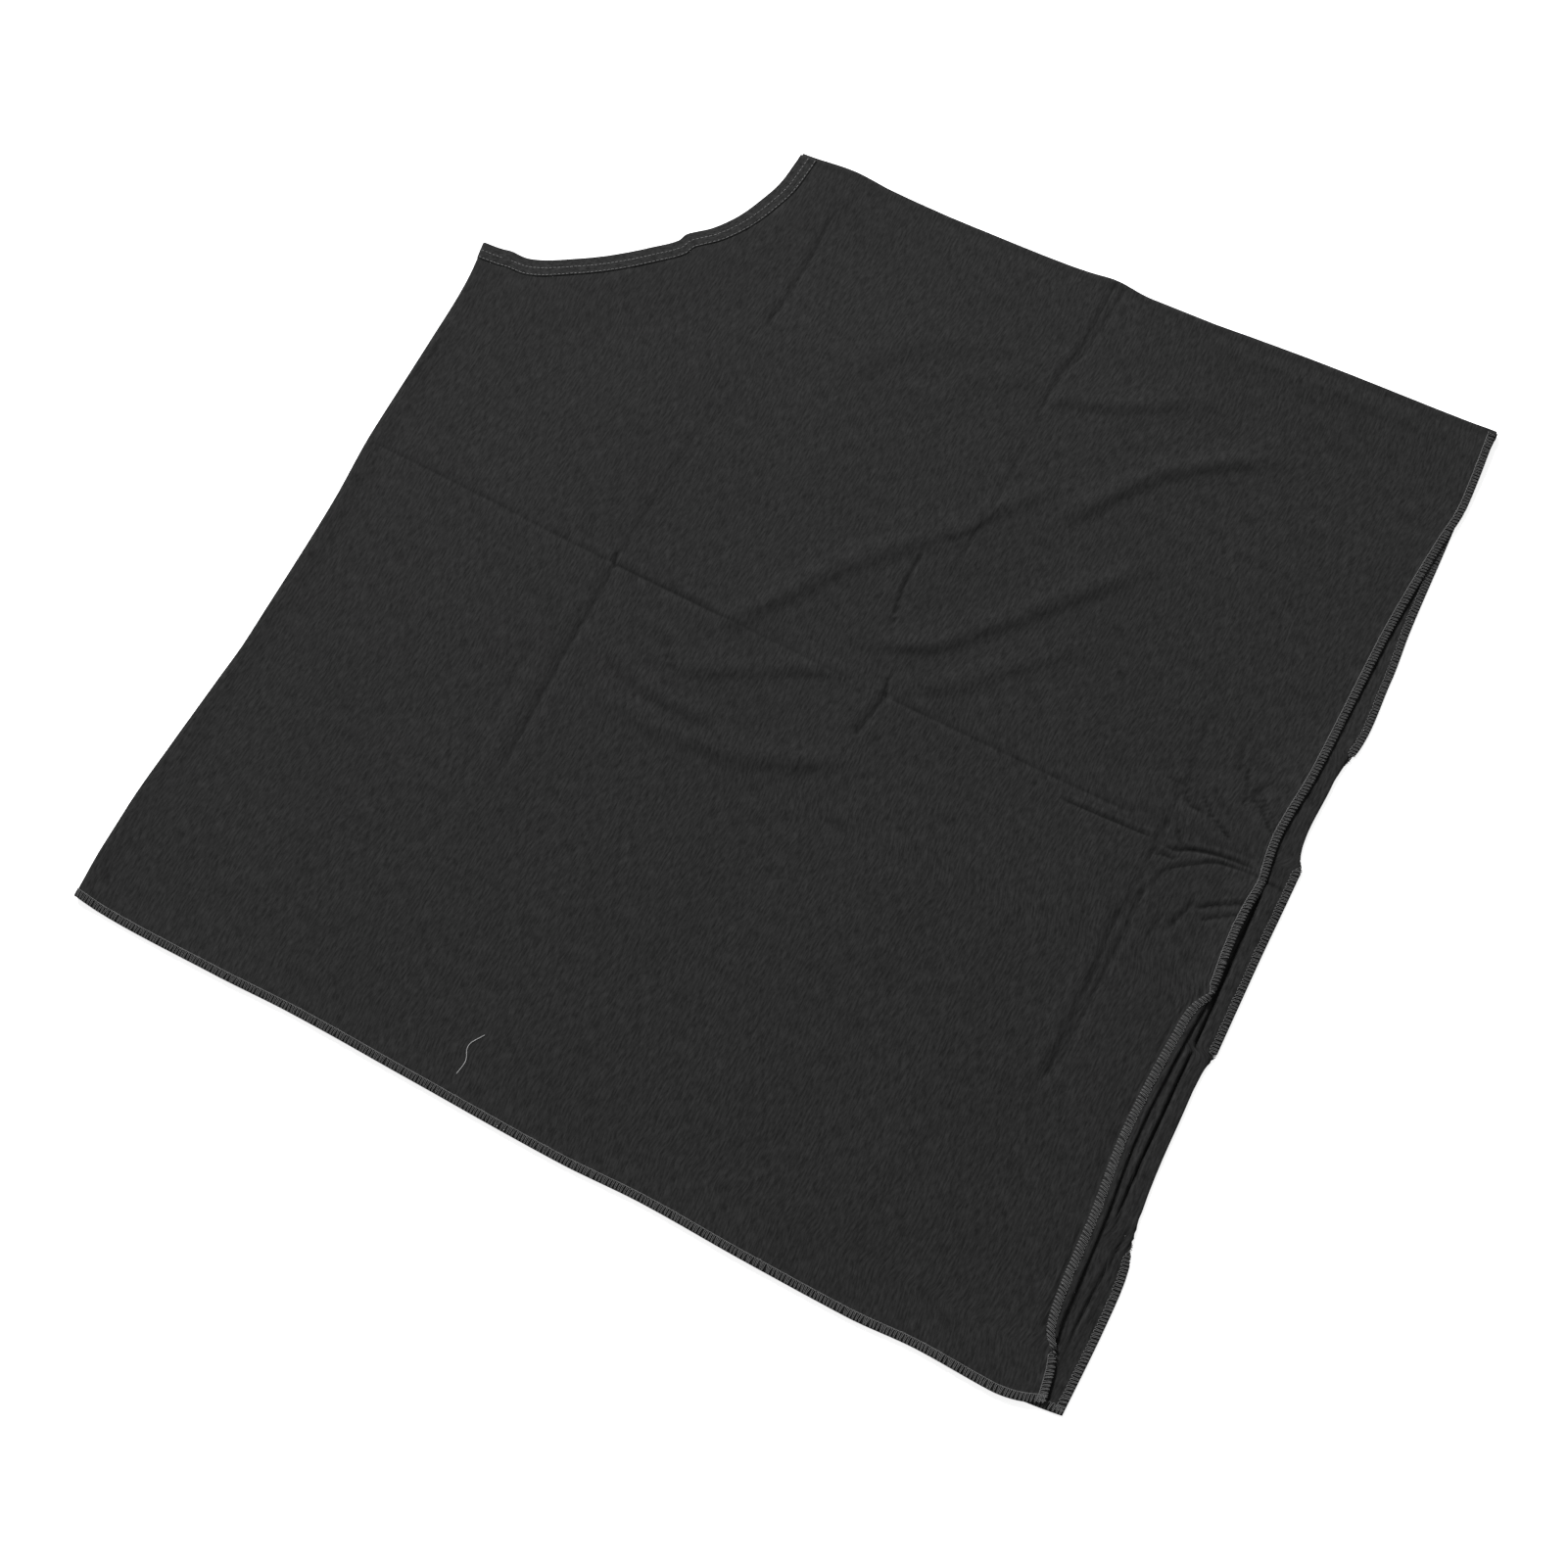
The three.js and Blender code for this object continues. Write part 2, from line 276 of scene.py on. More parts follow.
UPPER_CREASES = [
    pressed(stretch(ACROSS_CREASE, 0, 260, 0), 0.42, 1.4),
    pressed([(176, 318), (260, 316), (345, 313.5)], 0.3, 1.4),
    pressed([(360, 313.5), (470, 312), (520, 312)], 0.42, 1.2),
    pressed(stretch(LEFT_CREASE, 160, 320), 0.85, 2.3),
    pressed(stretch(LEFT_CREASE, 318, 470), 0.3, 1.3),
    pressed([(190.5, 440), (190, 400), (187, 360)], 0.25, 1.3),
    pressed([(189, 496), (191.5, 525), (192, 560), (190.5, 588)], 0.7, 1.6),
    pressed([(183, 588), (184.5, 580), (186, 570)], 0.4, 1.3),
    pressed([(200, 614), (199, 600), (197, 556)], 0.3, 1.5),
    pressed([(162.5, 256), (165, 190), (170, 112)], 0.5, 2.4),
    pressed([(366, 515), (366.5, 545), (370.5, 570), (370.5, 600), (371.5, 620)], 0.8, 1.5),
    pressed([(370, 552), (373.8, 568), (375.5, 590), (377.5, 618)], 0.7, 1.4),
    pressed([(364, 392), (366, 430), (367.5, 460), (368, 500)], 0.4, 1.2),
    pressed([(358.5, 284), (361, 297), (363, 308), (364, 317)], 1.1, 1.7),
    pressed([(370, 258), (369.5, 282), (368, 298), (366.5, 310)], 0.5, 1.2),
    pressed(stretch(RIGHT_CREASE, 150, 262), 1.05, 1.8, 0.5),
    pressed([(542.7, 160), (543.2, 235), (543.5, 278)], 1.05, 1.7, 0.4),
    pressed([(537, 244), (538.5, 286), (539, 320)], 0.45, 1.3),
    pressed(stretch(RIGHT_CREASE, 286, 400), 0.42, 1.5),
    pressed([(548, 618), (548.5, 605), (553, 592), (555.5, 574)], 0.4, 1.4),
    # Where the rolled edge of the strip beside the open side bears on the leaf.
    pressed([(602, 241), (595, 235), (590, 222), (587, 195), (585.6, 150), (588, 105), (590.4, 75),
             (591.5, 55), (593.5, 40), (600.5, 24)], 0.85, 1.4),
    pinch([(591, 72), (592, 50), (595, 35), (600, 25)], 0.5, 1.6, 0),
    # Soft diagonal wrinkles, from the crease across the cape up towards the seam's far end.
    wrinkle([(262, 309), (270, 323), (284, 341), (306, 373), (334, 402), (362, 431)],
            1.35, 5.5, 0.05, 0.3),
    wrinkle([(345, 415), (358, 424), (366, 434), (373, 448), (384, 459), (402, 473)],
            1.15, 3.6, 0.1, 0.3),
    wrinkle([(402, 448), (418, 467), (432, 487), (447, 506), (462, 519), (480, 531), (500, 541),
             (522, 552)], 1.75, 4.6, 0.18, 0.3),
    wrinkle([(366, 522), (380, 531), (396, 534.5), (412, 541), (432, 552), (455, 565), (485, 578)],
            1.0, 4.5, 0.08, 0.3),
    wrinkle([(440, 603), (480, 600.5), (510, 602), (540, 603.5), (590, 597)], 0.7, 4.0),
    wrinkle([(334, 331), (350, 340), (378, 352), (400, 376), (420, 396), (451, 431), (482, 462)], 1.6, 5.5),
    wrinkle([(370, 316), (401, 337), (426, 362), (464, 394)], 0.95, 6.0),
    wrinkle([(250, 470), (262, 500), (280, 522), (320, 540), (365, 548)], 0.6, 8.0),
    wrinkle([(300, 486), (330, 520), (372, 540)], 0.6, 7.0),
    # Sags below that crease, between its two crossings.
    wrinkle([(228, 290), (240, 279), (253, 274), (269, 282), (287, 291), (306, 302), (325, 309),
             (350, 313)], 0.95, 5.5),
    wrinkle([(198, 271), (212, 263), (226, 257), (242, 254), (260, 252.5), (288, 252)],
            1.45, 4.2, 0.2, 0.2),
    wrinkle([(200, 246), (230, 237), (253, 235), (281, 236.5), (300, 238.5), (319, 245), (337, 252),
             (353, 260), (366, 270), (371, 280)], 1.35, 6.0),
    pinch([(250, 268), (240, 278), (227, 293)], 0.6, 1.9),
    pinch([(337, 258), (338.5, 253), (338, 248)], 0.5, 1.2),
    # Short sharp creases at the crossings and on their own.
    pinch([(349.5, 348), (345.5, 365), (343, 381), (343, 408)], 1.35, 0.9, 0.3),
    pinch([(183, 314), (182, 317), (179, 326)], 0.8, 1.3),
    pinch([(363.5, 312), (362, 320), (360, 326)], 0.8, 1.2),
    # The cluster by the open side, which fans out to the overlock.
    pinch([(476, 301.5), (500, 302.3), (540, 303.8)], 0.62, 1.15),
    pinch([(539, 295.5), (545, 297), (553, 298)], 0.6, 1.3),
    pinch([(539, 302), (549, 302), (560, 307), (577, 310.5), (597, 312)], 0.8, 1.2),
    pinch([(547, 315), (550, 309), (553, 305)], 0.7, 1.2),
    pinch([(550, 341), (556, 333), (565, 326.5), (578, 320)], 0.85, 1.3),
    pinch([(540, 343), (543.5, 333), (547, 330), (556, 329)], 0.85, 1.3),
    pinch([(527, 341), (533, 340), (540, 340)], 0.35, 1.3),
    pinch([(561.5, 386), (560.5, 372), (564, 358)], 0.8, 1.3),
    pinch([(566, 367), (571, 354), (575, 340)], 0.9, 1.3),
    pinch([(575, 343), (578, 355), (585, 366)], 0.6, 1.6),
    pinch([(574, 350), (583, 345.5), (590, 338), (598, 331)], 1.1, 1.2),
    pinch([(578, 353), (586, 347.5), (593, 340), (599, 334)], 0.7, 1.2),
    pinch([(548, 276), (549, 288), (556, 295), (565, 301), (574, 306), (596, 309)], 0.6, 1.2),
    pinch([(563, 258), (568, 270), (571.5, 283)], 0.7, 1.3),
    pinch([(572, 276), (585, 285), (600, 292.5)], 1.0, 1.1),
    pinch([(577, 271), (587, 278), (600, 286)], 0.7, 1.0),
    pinch([(556, 248), (557, 258), (559, 268)], 0.5, 1.3),
    wrinkle([(505, 318), (550, 317), (596, 318)], 0.6, 6.0),
    wrinkle([(545, 345), (570, 338), (596, 326)], 0.5, 5.0),
    # By the fold, at the neck, and faint ones in the lower half.
    pinch([(11, 408), (10, 392), (7, 375), (5, 362)], 0.7, 1.4),
    wrinkle([(34, 466), (33, 455), (31, 440)], 0.4, 3.0),
    wrinkle([(60, 470), (52, 440), (46, 405)], 0.35, 5.0),
    wrinkle([(60, 300), (62, 200), (58, 90)], 0.3, 6.0),
    wrinkle([(100, 110), (94, 70), (90, 20)], 0.35, 5.0),
    wrinkle([(290, 230), (300, 180), (302, 90)], 0.3, 6.0),
    wrinkle([(352, 230), (356, 190), (354, 130)], 0.35, 5.0),
    wrinkle([(420, 260), (424, 180), (418, 60)], 0.3, 6.0),
    wrinkle([(470, 250), (474, 150), (478, 40)], 0.3, 6.0),
    wrinkle([(500, 50), (540, 62), (590, 84)], 0.4, 8.0),
    wrinkle([(470, 20), (490, 70), (500, 130)], 0.3, 6.0),
    wrinkle([(572, 160), (575, 90), (560, 30)], 0.4, 6.0),
]

# Valleys in the lower leaf, where its strip beside the upper leaf's edge buckles up.
LOWER_VALLEYS = [
    pinch([(612, 76), (608.5, 87), (604.8, 106), (603.8, 130), (604, 220), (603.6, 262), (602.3, 292),
           (601, 335)], 1.15, 0.85, 0.35),
    pinch([(602, 302), (602.8, 270), (603, 248), (603, 222)], 1.2, 1.6, 0),
    pinch([(613, 108), (611.3, 85), (609.7, 62), (609, 42), (611, 18)], 0.9, 0.9, 0.2),
    pinch([(590, 308), (604, 307.5), (622, 306.5)], 0.6, 1.2, 0),
]


def ripples(count, shortest, longest, drawn_out):
    """Small waves in many directions, with crests drawn out along y."""
    draw = np.random.default_rng(SEED + count)
    lengths = draw.uniform(shortest, longest, count)
    turns = draw.uniform(0, math.pi, count)
    phases = draw.uniform(0, 2 * math.pi, count)

    def shape(x, y):
        total = np.zeros(x.shape)
        for length, turn, phase in zip(lengths, turns, phases):
            run = x * math.cos(turn) + y * math.sin(turn) / drawn_out
            total += np.sin(2 * math.pi * run / length + phase)
        return total / math.sqrt(count)

    return shape


broad_ripple = ripples(14, 45, 120, 1.6)
fine_ripple = ripples(18, 9, 24, 5.0)


# The cloth's heights --------------------------------------------------------------------------------

def neck_distance(x, y):
    """How far a place lies outside the bound neck edge."""
    up = LENGTH - y
    return np.hypot(x, up) - NECK(np.degrees(np.arctan2(np.abs(x), up)))


def lower_height(x, y):
    """Height of the lower leaf's middle. What is sewn or rolled under it lifts it off the floor."""
    base = LYING + 0.04 * (1 + broad_ripple(x, y))
    hem = THREAD_LIFT * beside_edge(y - LOWER_HEM(x), EDGE_STIFF)
    side = THREAD_LIFT * beside_edge(LOWER_SIDE(y) - x, EDGE_STIFF)
    neck = 0.8 * beside_edge(neck_distance(x, y), NECK_STIFF)
    roll = (2 * ROLL_RADIUS + THREAD_LIFT) * LOWER_RIDE(y) * beside_edge(LOWER_SIDE(y) - x, (12, 36))
    # The strip beside the upper leaf's edge buckles up into a ridge.
    ridge_x, ridge_height = 603, 1.9
    ridge = beside_edge(np.abs(x - ridge_x), (3, 22))
    buckle = ridge_height * within(y, 10, 60, 290, 330) * ridge
    lift = np.maximum(np.maximum(np.maximum(hem, side), np.maximum(neck, roll)), buckle)
    for valley in LOWER_VALLEYS:
        lift = lift + valley(x, y) * np.maximum(lift, 0.6)  # a valley is deeper in cloth that stands up
    return base + np.maximum(lift, 0)


def creased(x, y):
    """What all the creases add to the upper leaf's height."""
    return sum(crease(x, y) for crease in UPPER_CREASES)


def at_least(value, least):
    """A value that levels off softly above a least one."""
    sharpness = 6
    return np.log1p(np.exp((value - least) * sharpness)) / sharpness + least


def waves(along_edge, length, from_edge):
    """The small waves of an overlocked edge, of this length."""
    height = 0.12
    return height * np.sin(2 * math.pi * along_edge / length) * beside_edge(from_edge, WAVE_STIFF)


def upper_gap(x, y):
    """Height of the upper leaf's middle over the lower leaf's."""
    elsewhere = 500  # another stretch of the lower leaf's ripple, so that the leaves aren't alike
    ripple = 0.16 * broad_ripple(x + elsewhere, y)
    gap = LEAF_GAP + ripple + 0.045 * fine_ripple(x, y) + creased(x, y)
    # Its side lies closer to the lower leaf, most of all below the crease across the cape.
    closer = 0.3 + 0.55 * (1 - rise(y, 284, 300))
    gap = gap - closer * beside_edge(UPPER_SIDE(y) - x, (5, 30)) * within(y, 12, 40, 560, 600)
    gap = at_least(gap, CLOTH + CLEARANCE)
    # The seam's allowance and the neck's bindings, which lie between the leaves, hold them apart.
    from_seam = LENGTH - SEAM_DROP(x) - y
    seam = 1.05 * beside_edge(from_seam, (6, 55)) + 0.35 * beside_edge(from_seam, (3, 5.8))
    neck = 0.5 * beside_edge(neck_distance(x, y), NECK_STIFF)
    gap = gap + np.maximum(seam, neck)
    gap = gap + waves(y, 11, UPPER_SIDE(y) - x) + waves(x, 9.5, y - UPPER_HEM(x))
    by_fold = beside_edge(x - FOLD(y), (FOLD_RADIUS, 16))
    return gap + (2 * FOLD_RADIUS - gap) * by_fold


def crowded(x, y):
    """How deep a place lies in the lower leaf's sharp valleys, 0 to 1, which sets the painted shade there.
    """
    return np.clip(-sum(valley(x, y) for valley in LOWER_VALLEYS), 0, 1)


def hollow(x, y):
    """How sharply the upper leaf's creases press it in at a place, 0 to 1, which sets the painted shade
    there.
    """
    near = 1.5
    sharpest = 0.24  # a place this far below those near it counts as 1
    near_x = creased(x + near, y) + creased(x - near, y)
    around = (near_x + creased(x, y + near) + creased(x, y - near)) / 4
    return np.clip((around - creased(x, y)) / sharpest, 0, 1)


# The folded cloth -----------------------------------------------------------------------------------

def rolled_section(distance, roll):
    """A strip that rolls over by a width: how far out and how far up a distance over the cloth lies."""
    flat = STRIP - roll
    turn = np.clip((distance - flat) / ROLL_RADIUS, 0, math.pi)
    out = np.minimum(distance, flat) + ROLL_RADIUS * np.sin(turn)
    out = out - np.maximum(distance - flat - math.pi * ROLL_RADIUS, 0)
    return out, ROLL_RADIUS * (1 - np.cos(turn))


def rolled_reach(roll):
    """How far out the rolled strip reaches."""
    most = np.clip(roll / ROLL_RADIUS, 0, math.pi / 2)
    return STRIP - roll + ROLL_RADIUS * np.sin(most)


def cloth(across, along):
    """The middle surface of the folded cloth, in millimetres."""
    across, along = np.broadcast_arrays(np.asarray(across, float), np.asarray(along, float))
    upper = across >= 0
    over = np.abs(across)
    hem = np.where(upper, UPPER_HEM(over), LOWER_HEM(over))
    top = LENGTH - SEAM_DROP(over) - SEAM_BEND
    turned = np.maximum(along - LENGTH, 0)
    angle = np.minimum(turned / SEAM_BEND, math.pi)
    y = hem + (top - hem) * np.minimum(along, LENGTH) / LENGTH
    flat_y = y
    y = y + SEAM_BEND * np.sin(angle) - np.maximum(turned - SEAM_TURN, 0)

    side = np.where(upper, UPPER_SIDE(flat_y), LOWER_SIDE(flat_y))
    roll = np.where(upper, UPPER_ROLL(flat_y), LOWER_ROLL(flat_y))
    leaf_start = FOLD(flat_y) + FOLD_RADIUS
    strip_start = side - rolled_reach(roll)
    share = np.clip((over - ARC) / (REACH - STRIP - ARC), 0, 1)
    out, up = rolled_section(np.maximum(over - (REACH - STRIP), 0), roll)
    x = leaf_start + (strip_start - leaf_start) * share + out
    fold_angle = np.minimum(over, ARC) / FOLD_RADIUS
    x = x - FOLD_RADIUS * np.cos(fold_angle)

    low = lower_height(x, flat_y)
    gap = upper_gap(x, flat_y)
    on_fold = over < ARC
    middle = low + gap / 2
    turn_in = SEAM_BEND * (1 - np.cos(angle))
    overlocked = over > REACH - OVERLOCKED_EDGE
    least = LYING + THREAD_LIFT * overlocked
    on_leaf = np.where(upper, low + gap + up - turn_in, np.maximum(low - up, least) + turn_in)
    on_bend = middle + np.where(upper, 1, -1) * gap / 2 * np.sin(fold_angle)
    return np.stack([x, y, np.where(on_fold, on_bend, on_leaf)], axis=-1)


def stitch(across, along, off):
    """A place off the cloth's middle, counted outwards: up from the upper leaf, down from the lower."""
    small = 0.2
    here = cloth(across, along)
    by_across = cloth(np.asarray(across) + small, along) - here
    by_along = cloth(across, np.asarray(along) + small) - here
    normal = np.cross(by_across, by_along)
    normal = normal / np.maximum(np.linalg.norm(normal, axis=-1, keepdims=True), 1e-9)
    return here + normal * np.asarray(off)[..., None]


# Meshes ---------------------------------------------------------------------------------------------

def in_row_frame(points):
    """Plan millimetres to metres in the part's own frame."""
    return points.reshape(-1, 3) * MM + np.array([panel_low.x, panel_low.y, 0])


def piece(name, points, faces, uv, material):
    """A smooth mesh that rides on the part's one body. uv is the flat pattern at each point."""
    mesh = bpy.data.meshes.new(name)
    mesh.from_pydata(in_row_frame(points).tolist(), [], faces.tolist())
    mesh.update()
    layer = mesh.uv_layers.new(name="pattern")
    corner = np.empty(len(mesh.loops), np.int32)
    mesh.loops.foreach_get("vertex_index", corner)
    layer.data.foreach_set("uv", (uv.reshape(-1, 2) * MM)[corner].astype(np.float32).ravel())
    mesh.polygons.foreach_set("use_smooth", np.ones(len(mesh.polygons), bool))
    mesh.materials.append(material)
    made = bpy.data.objects.new(name, mesh)
    bpy.context.scene.collection.objects.link(made)
    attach(made, "root")
    return made


def grid_faces(rows, columns):
    """Quads between neighbouring rows and columns of a grid of points."""
    corner = np.arange(rows * columns).reshape(rows, columns)
    quads = [corner[:-1, :-1], corner[:-1, 1:], corner[1:, 1:], corner[1:, :-1]]
    return np.stack([q.ravel() for q in quads], axis=1)


def thicken(made, thickness):
    """Gives a sheet its thickness, half to each side."""
    modifier = made.modifiers.new("thickness", "SOLIDIFY")
    modifier.thickness = thickness * MM
    modifier.offset = 0
    return made


def tube(name, path, radius, material, sides=5, points_each=None):
    """A thread along a path, in separate lengths of this many points, or else in one length."""
    runs = path.reshape(-1, points_each or len(path), 3)
    tangent = np.gradient(runs, axis=1)
    tangent = tangent / np.linalg.norm(tangent, axis=-1, keepdims=True)
    # Rings are laid out from any direction that the thread doesn't run along. This one is slanted.
    reference = np.broadcast_to(np.array([0.31, 0.47, 0.83]), tangent.shape)
    first = np.cross(tangent, reference)
    first = first / np.maximum(np.linalg.norm(first, axis=-1, keepdims=True), 1e-6)
    second = np.cross(tangent, first)
    angles = 2 * math.pi * np.arange(sides) / sides
    rings = np.stack([first * math.cos(a) + second * math.sin(a) for a in angles], axis=2)
    points = runs[:, :, None, :] + radius * rings
    count = runs.shape[1]
    corner = np.arange(count * sides).reshape(count, sides)
    ahead = np.roll(corner, -1, axis=1)
    quads = [corner[:-1], ahead[:-1], ahead[1:], corner[1:]]
    walls = np.stack([q.ravel() for q in quads], axis=1)
    caps = np.vstack([corner[0][::-1], corner[-1]])
    starts = np.arange(len(runs)) * count * sides
    faces = [row for start in starts for row in (walls + start).tolist()]
    faces += [row for start in starts for row in (caps + start).tolist()]
    travel = np.cumsum(np.linalg.norm(np.diff(runs, axis=1, prepend=runs[:, :1]), axis=-1), axis=1)
    around = np.broadcast_to(np.arange(sides) / sides, points.shape[:3])
    uv = np.stack([around, np.broadcast_to(travel[..., None], points.shape[:3])], axis=-1)
    return piece(name, points, np.array(faces, dtype=object), uv, material)


def spaced(*stretches):
    """Positions through stretches of (end, spacing), the first of which only starts them."""
    found = [stretches[0][0]]
    for (start, _), (end, spacing) in zip(stretches, stretches[1:]):
        count = max(1, round(abs(end - start) / spacing))
        found.extend(np.linspace(start, end, count + 1)[1:])
    return np.array(found)


# Materials ------------------------------------------------------------------------------------------

class Nodes:
    """A material's node tree, with short ways to add and join nodes."""

    def __init__(self, name):
        self.material = bpy.data.materials.new(name)
        self.material.use_nodes = True
        self.tree = self.material.node_tree
        self.shader = self.tree.nodes["Principled BSDF"]

    def add(self, kind, settings=None, output=0, **inputs):
        node = self.tree.nodes.new(kind)
        for key, value in (settings or {}).items():
            setattr(node, key, value)
        for key, value in inputs.items():
            socket = node.inputs[key.replace("_", " ")]
            if isinstance(value, bpy.types.NodeSocket):
                self.tree.links.new(value, socket)
            else:
                socket.default_value = value
        return node.outputs[output]

    def join(self, output, name):
        self.tree.links.new(output, self.shader.inputs[name])

    def set(self, **values):
        for key, value in values.items():
            self.shader.inputs[key.replace("_", " ")].default_value = value

    def pattern(self, scale):
        """The flat pattern's coordinates, scaled."""
        place = self.add("ShaderNodeUVMap", {"uv_map": "pattern"})
        return self.add("ShaderNodeMapping", Vector=place, Scale=scale)

    def noise(self, scale, detail=2.0):
        """Noise with this many features to a metre each way."""
        return self.add("ShaderNodeTexNoise", Vector=self.pattern((*scale, 1)), Scale=1.0,
                        Detail=detail, Roughness=0.5)

    def between(self, value, low, high):
        """A value's stretch from low to high, spread over 0 to 1."""
        return self.add("ShaderNodeMapRange", Value=value, From_Min=low, From_Max=high)

    def blend(self, share, first, second, how="MIX"):
        """Two colours mixed. share is how much of the second there is."""
        mix = self.tree.nodes.new("ShaderNodeMix")
        mix.data_type = "RGBA"
        mix.blend_type = how
        for socket, value in ((mix.inputs[0], share), (mix.inputs[6], first), (mix.inputs[7], second)):
            if isinstance(value, bpy.types.NodeSocket):
                self.tree.links.new(value, socket)
            else:
                socket.default_value = value
        return mix.outputs[2]

    def bump(self, height, distance, strength, under=None):
        """A small relief, over another where one is given."""
        node = self.tree.nodes.new("ShaderNodeBump")
        node.inputs["Distance"].default_value = distance
        node.inputs["Strength"].default_value = strength
        self.tree.links.new(height, node.inputs["Height"])
        if under is not None:
            self.tree.links.new(under, node.inputs["Normal"])
        return node.outputs[0]


CREASE_SHADE = 0.42  # painted shade: the cloth's brightness where a crease presses it in most, as a share
RIB_TURN = 1400  # radians of the ribs' wave to a metre
WAVE_TURN = 20  # radians of the wave node to a unit, at a scale of 1


def grey(level):
    return (level, level, level, 1)


def jersey(name, streaks, grains, dark, light):
    """Melange knit jersey: dark and light yarns in short streaks along the wales, and finer grains."""
    nodes = Nodes(name)
    yarn_noise = nodes.noise(streaks)
    yarn = nodes.blend(nodes.between(yarn_noise, 0.36, 0.66), grey(dark), grey(light))
    grain = nodes.blend(nodes.between(nodes.noise(grains), 0.35, 0.66), grey(dark), grey(light))
    base = nodes.blend(0.4, yarn, grain)
    mottle = nodes.between(nodes.noise((110, 60), 3.0), 0.3, 0.7)
    base = nodes.blend(1.0, base, nodes.blend(mottle, grey(0.93), grey(1.08)), "MULTIPLY")
    patch = nodes.between(nodes.noise((14, 9)), 0.3, 0.7)
    base = nodes.blend(1.0, base, nodes.blend(patch, grey(0.96), grey(1.04)), "MULTIPLY")
    # Sharp creases are narrower than the mesh can show, so shade is painted into the cloth's colour where
    # they press it in, as strongly as in the photograph. The binding has no such attribute and gets no
    # painted shade.
    painted_crease_shade = nodes.add("ShaderNodeAttribute", {"attribute_name": "crease_shade_mask"}, output="Fac")
    shade = nodes.blend(painted_crease_shade, grey(1.0), grey(CREASE_SHADE))
    nodes.join(nodes.blend(1.0, base, shade, "MULTIPLY"), "Base Color")
    ribs = nodes.add("ShaderNodeTexWave", {"bands_direction": "X"}, Vector=nodes.pattern((1, 1, 1)),
                     Scale=RIB_TURN / WAVE_TURN, Distortion=0.0)
    relief = nodes.bump(ribs, 0.05 * MM, 0.35)
    relief = nodes.bump(yarn_noise, 0.12 * MM, 0.5, relief)
    nodes.join(nodes.bump(nodes.noise((260, 180)), 0.2 * MM, 0.35, relief), "Normal")
    nodes.set(Roughness=0.95, Specular_IOR_Level=0.12, Sheen_Weight=0.04, Sheen_Roughness=0.5)
    return nodes.material


def spun_thread(name, dark, light):
    """Sewing thread: a shade that changes along it, and the twist of its plies."""
    nodes = Nodes(name)
    shade = nodes.between(nodes.noise((0.5, 330)), 0.3, 0.7)
    nodes.join(nodes.blend(shade, grey(dark), grey(light)), "Base Color")
    turned = nodes.add("ShaderNodeMapping", Vector=nodes.pattern((1000, 1800, 1)), Rotation=(0, 0, 0.6))
    plies = nodes.add("ShaderNodeTexWave", {"bands_direction": "Y"}, Vector=turned, Scale=0.35)
    nodes.join(nodes.bump(plies, 0.06 * MM, 0.5), "Normal")
    nodes.set(Roughness=0.8, Specular_IOR_Level=0.15)
    return nodes.material


body_jersey = jersey("body jersey", (880, 125), (1050, 330), 0.0066, 0.0225)
strip_jersey = jersey("binding jersey", (760, 260), (900, 500), 0.0068, 0.0275)
seam_thread = spun_thread("seam thread", 0.08, 0.125)
needle_thread = spun_thread("needle thread", 0.15, 0.21)
loop_thread = spun_thread("looper thread", 0.075, 0.12)
loose_thread = spun_thread("loose thread", 0.30, 0.42)


# The body cloth -------------------------------------------------------------------------------------

# Where the grid's close lines are, before they are moved onto the creases.
CLOSE_COLUMNS = ((183, LEFT_CREASE), (366, MIDDLE_CREASE), (541, RIGHT_CREASE))
CLOSE_ROWS = 320
OVER_X = 1.5  # about how much more a distance over a leaf is than its x
OVER_Y = 2.6  # and along it than its y, at the crease across the cape


def drawn(value, place, line):
    """Moves the grid lines about a place onto a crease that wanders near it."""
    reach = 40.0
    return value + (line - place) * np.exp(-((value - place) / reach) ** 2)


def onto_creases(across, along):
    """The grid's lines, moved so that the close ones follow the pressed creases."""
    over = np.abs(across)
    moved = over
    for place, crease in CLOSE_COLUMNS:
        crease_x = profile(*[(y, x) for x, y in crease])
        moved = drawn(moved, place, crease_x(along) + OVER_X)
    return np.sign(across) * moved, drawn(along, CLOSE_ROWS, profile(*ACROSS_CREASE)(over) + OVER_Y)


